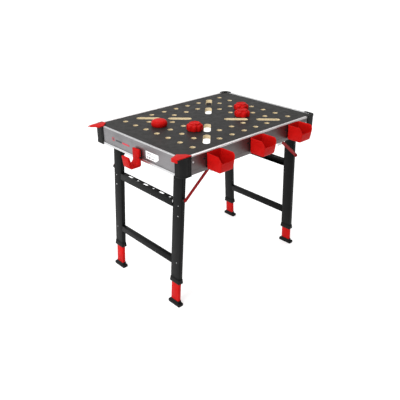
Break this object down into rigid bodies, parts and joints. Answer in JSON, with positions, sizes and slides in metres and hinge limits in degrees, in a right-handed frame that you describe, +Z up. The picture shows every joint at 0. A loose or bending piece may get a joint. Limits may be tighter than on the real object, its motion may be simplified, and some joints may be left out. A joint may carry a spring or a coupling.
{
  "type": "folding workbench",
  "caption": "Folding height-adjustable bench with a perforated clamping top, aluminium side rails, splayed leg frames, bench dogs, storage bins and a strap hook.",
  "frame": {"origin": "on the floor, at the middle of the bounding box's bottom face, legs open and extended", "axes": "+X along the bench's long side, from the end with the hook and corner stops to the other end; +Y across the bench, away from the side with the storage bins; +Z up"},
  "size_m": [1.086, 0.807, 0.907],
  "materials": {
    "top_laminate": "black laminated board, matt, with a light tan core at its cut edges",
    "aluminium": "satin anodised extrusion",
    "black_steel": "black powder coat, fine texture",
    "black_plastic": "black moulded plastic, light grain",
    "red_steel": "red powder coat",
    "red_plastic": "red moulded plastic, semi-gloss",
    "zinc_steel": "zinc plated steel"
  },
  "bodies": {
    "table": {"top_panel": "top_laminate", "front_rail": "aluminium", "rear_rail": "aluminium", "left_end_rail": "aluminium", "right_end_rail": "aluminium", "corner_bracket_front_left": "black_plastic", "corner_bracket_rear_left": "black_plastic", "corner_bracket_front_right": "black_plastic", "corner_bracket_rear_right": "black_plastic", "brace_track_front": "zinc_steel", "brace_track_rear": "zinc_steel", "pivot_bracket_front_left": "black_steel", "pivot_bracket_rear_left": "black_steel", "pivot_bracket_front_right": "black_steel", "pivot_bracket_rear_right": "black_steel", "pivot_bolt_front_left": "zinc_steel", "pivot_bolt_rear_left": "zinc_steel", "pivot_bolt_front_right": "zinc_steel", "pivot_bolt_rear_right": "zinc_steel"},
    "left_legs": {"outer_leg_front_left": "black_steel", "outer_leg_rear_left": "black_steel", "leg_collar_front_left": "black_plastic", "leg_collar_rear_left": "black_plastic", "upper_crossbar_left": "black_steel", "lower_crossbar_left": "black_steel"},
    "right_legs": {"outer_leg_front_right": "black_steel", "outer_leg_rear_right": "black_steel", "leg_collar_front_right": "black_plastic", "leg_collar_rear_right": "black_plastic", "upper_crossbar_right": "black_steel", "lower_crossbar_right": "black_steel"},
    "brace_front_left": {"brace_front_left": "red_steel"},
    "brace_rear_left": {"brace_rear_left": "red_steel"},
    "brace_front_right": {"brace_front_right": "red_steel"},
    "brace_rear_right": {"brace_rear_right": "red_steel"},
    "telescopic_leg_front_left": {"inner_leg_front_left": "red_steel", "foot_front_left": "black_plastic"},
    "telescopic_leg_rear_left": {"inner_leg_rear_left": "red_steel", "foot_rear_left": "black_plastic"},
    "telescopic_leg_front_right": {"inner_leg_front_right": "red_steel", "foot_front_right": "black_plastic"},
    "telescopic_leg_rear_right": {"inner_leg_rear_right": "red_steel", "foot_rear_right": "black_plastic"},
    "lock_button_front_left": {"lock_button_front_left": "zinc_steel"},
    "lock_button_rear_left": {"lock_button_rear_left": "zinc_steel"},
    "lock_button_front_right": {"lock_button_front_right": "zinc_steel"},
    "lock_button_rear_right": {"lock_button_rear_right": "zinc_steel"},
    "dog_round": {"bench_dog_round": "red_plastic"},
    "dog_star": {"bench_dog_star": "red_plastic"},
    "dog_rear": {"bench_dog_rear": "red_plastic"},
    "dog_front": {"bench_dog_front": "red_plastic"},
    "left_bin": {"bin_left": "red_plastic"},
    "middle_bin": {"bin_middle": "red_plastic"},
    "right_bin": {"bin_right": "red_plastic"},
    "hook": {"strap_hook": "red_plastic"},
    "front_stop": {"corner_stop_front": "red_plastic"},
    "rear_stop": {"corner_stop_rear": "red_plastic"}
  },
  "joints": [
    {"name": "left_legs_fold", "type": "hinge", "parent": "table", "child": "left_legs", "pos_m": [-0.38282, 0.0465, 0.825], "axis": [0, -1, 0], "range_deg": [0, 93.55]},
    {"name": "right_legs_fold", "type": "hinge", "parent": "table", "child": "right_legs", "pos_m": [0.46274, 0.0465, 0.794], "axis": [0, 1, 0], "range_deg": [0, 93.55]},
    {"name": "brace_front_left_swing", "type": "hinge", "parent": "left_legs", "child": "brace_front_left", "pos_m": [-0.39547, -0.253, 0.621], "axis": [0, -1, 0], "range_deg": [-136, 0]},
    {"name": "brace_rear_left_swing", "type": "hinge", "parent": "left_legs", "child": "brace_rear_left", "pos_m": [-0.39547, 0.346, 0.621], "axis": [0, -1, 0], "range_deg": [-136, 0]},
    {"name": "brace_front_right_swing", "type": "hinge", "parent": "right_legs", "child": "brace_front_right", "pos_m": [0.47347, -0.253, 0.621], "axis": [0, 1, 0], "range_deg": [-136, 0]},
    {"name": "brace_rear_right_swing", "type": "hinge", "parent": "right_legs", "child": "brace_rear_right", "pos_m": [0.47347, 0.346, 0.621], "axis": [0, 1, 0], "range_deg": [-136, 0]},
    {"name": "leg_height_front_left", "type": "slide", "parent": "left_legs", "child": "telescopic_leg_front_left", "axis": [0.0619, 0, 0.9981], "range_m": [0, 0.1]},
    {"name": "leg_height_rear_left", "type": "slide", "parent": "left_legs", "child": "telescopic_leg_rear_left", "axis": [0.0619, 0, 0.9981], "range_m": [0, 0.1]},
    {"name": "leg_height_front_right", "type": "slide", "parent": "right_legs", "child": "telescopic_leg_front_right", "axis": [-0.0619, 0, 0.9981], "range_m": [0, 0.069]},
    {"name": "leg_height_rear_right", "type": "slide", "parent": "right_legs", "child": "telescopic_leg_rear_right", "axis": [-0.0619, 0, 0.9981], "range_m": [0, 0.069]},
    {"name": "button_press_front_left", "type": "slide", "parent": "left_legs", "child": "lock_button_front_left", "axis": [-0.9981, 0, 0.0619], "range_m": [0, 0.0012], "stiffness_N_per_m": 800, "springref_m": -0.002},
    {"name": "button_press_rear_left", "type": "slide", "parent": "left_legs", "child": "lock_button_rear_left", "axis": [-0.9981, 0, 0.0619], "range_m": [0, 0.0012], "stiffness_N_per_m": 800, "springref_m": -0.002},
    {"name": "button_press_front_right", "type": "slide", "parent": "right_legs", "child": "lock_button_front_right", "axis": [-0.9981, 0, -0.0619], "range_m": [0, 0.0012], "stiffness_N_per_m": 800, "springref_m": -0.002},
    {"name": "button_press_rear_right", "type": "slide", "parent": "right_legs", "child": "lock_button_rear_right", "axis": [-0.9981, 0, -0.0619], "range_m": [0, 0.0012], "stiffness_N_per_m": 800, "springref_m": -0.002},
    {"name": "dog_round_lift", "type": "slide", "parent": "table", "child": "dog_round", "axis": [0, 0, 1], "range_m": [0, 0.06]},
    {"name": "dog_star_lift", "type": "slide", "parent": "table", "child": "dog_star", "axis": [0, 0, 1], "range_m": [0, 0.06]},
    {"name": "dog_rear_lift", "type": "slide", "parent": "table", "child": "dog_rear", "axis": [0, 0, 1], "range_m": [0, 0.06]},
    {"name": "dog_front_lift", "type": "slide", "parent": "table", "child": "dog_front", "axis": [0, 0, 1], "range_m": [0, 0.06]},
    {"name": "left_bin_lift", "type": "slide", "parent": "table", "child": "left_bin", "axis": [0, 0, 1], "range_m": [0, 0.02]},
    {"name": "middle_bin_lift", "type": "slide", "parent": "table", "child": "middle_bin", "axis": [0, 0, 1], "range_m": [0, 0.02]},
    {"name": "right_bin_lift", "type": "slide", "parent": "table", "child": "right_bin", "axis": [0, 0, 1], "range_m": [0, 0.02]},
    {"name": "hook_lift", "type": "slide", "parent": "table", "child": "hook", "axis": [0, 0, 1], "range_m": [0, 0.02]},
    {"name": "front_stop_swivel", "type": "hinge", "parent": "table", "child": "front_stop", "pos_m": [-0.435, -0.2805, 0.867], "axis": [0, 0, 1], "range_deg": [0, 90]},
    {"name": "rear_stop_swivel", "type": "hinge", "parent": "table", "child": "rear_stop", "pos_m": [-0.435, 0.3735, 0.867], "axis": [0, 0, -1], "range_deg": [0, 90]}
  ],
  "couplings": [
    {"joint": "brace_front_left_swing", "follows": "left_legs_fold", "ratio": -1.428},
    {"joint": "brace_rear_left_swing", "follows": "left_legs_fold", "ratio": -1.428},
    {"joint": "brace_front_right_swing", "follows": "right_legs_fold", "ratio": -1.4338},
    {"joint": "brace_rear_right_swing", "follows": "right_legs_fold", "ratio": -1.4338}
  ]
}
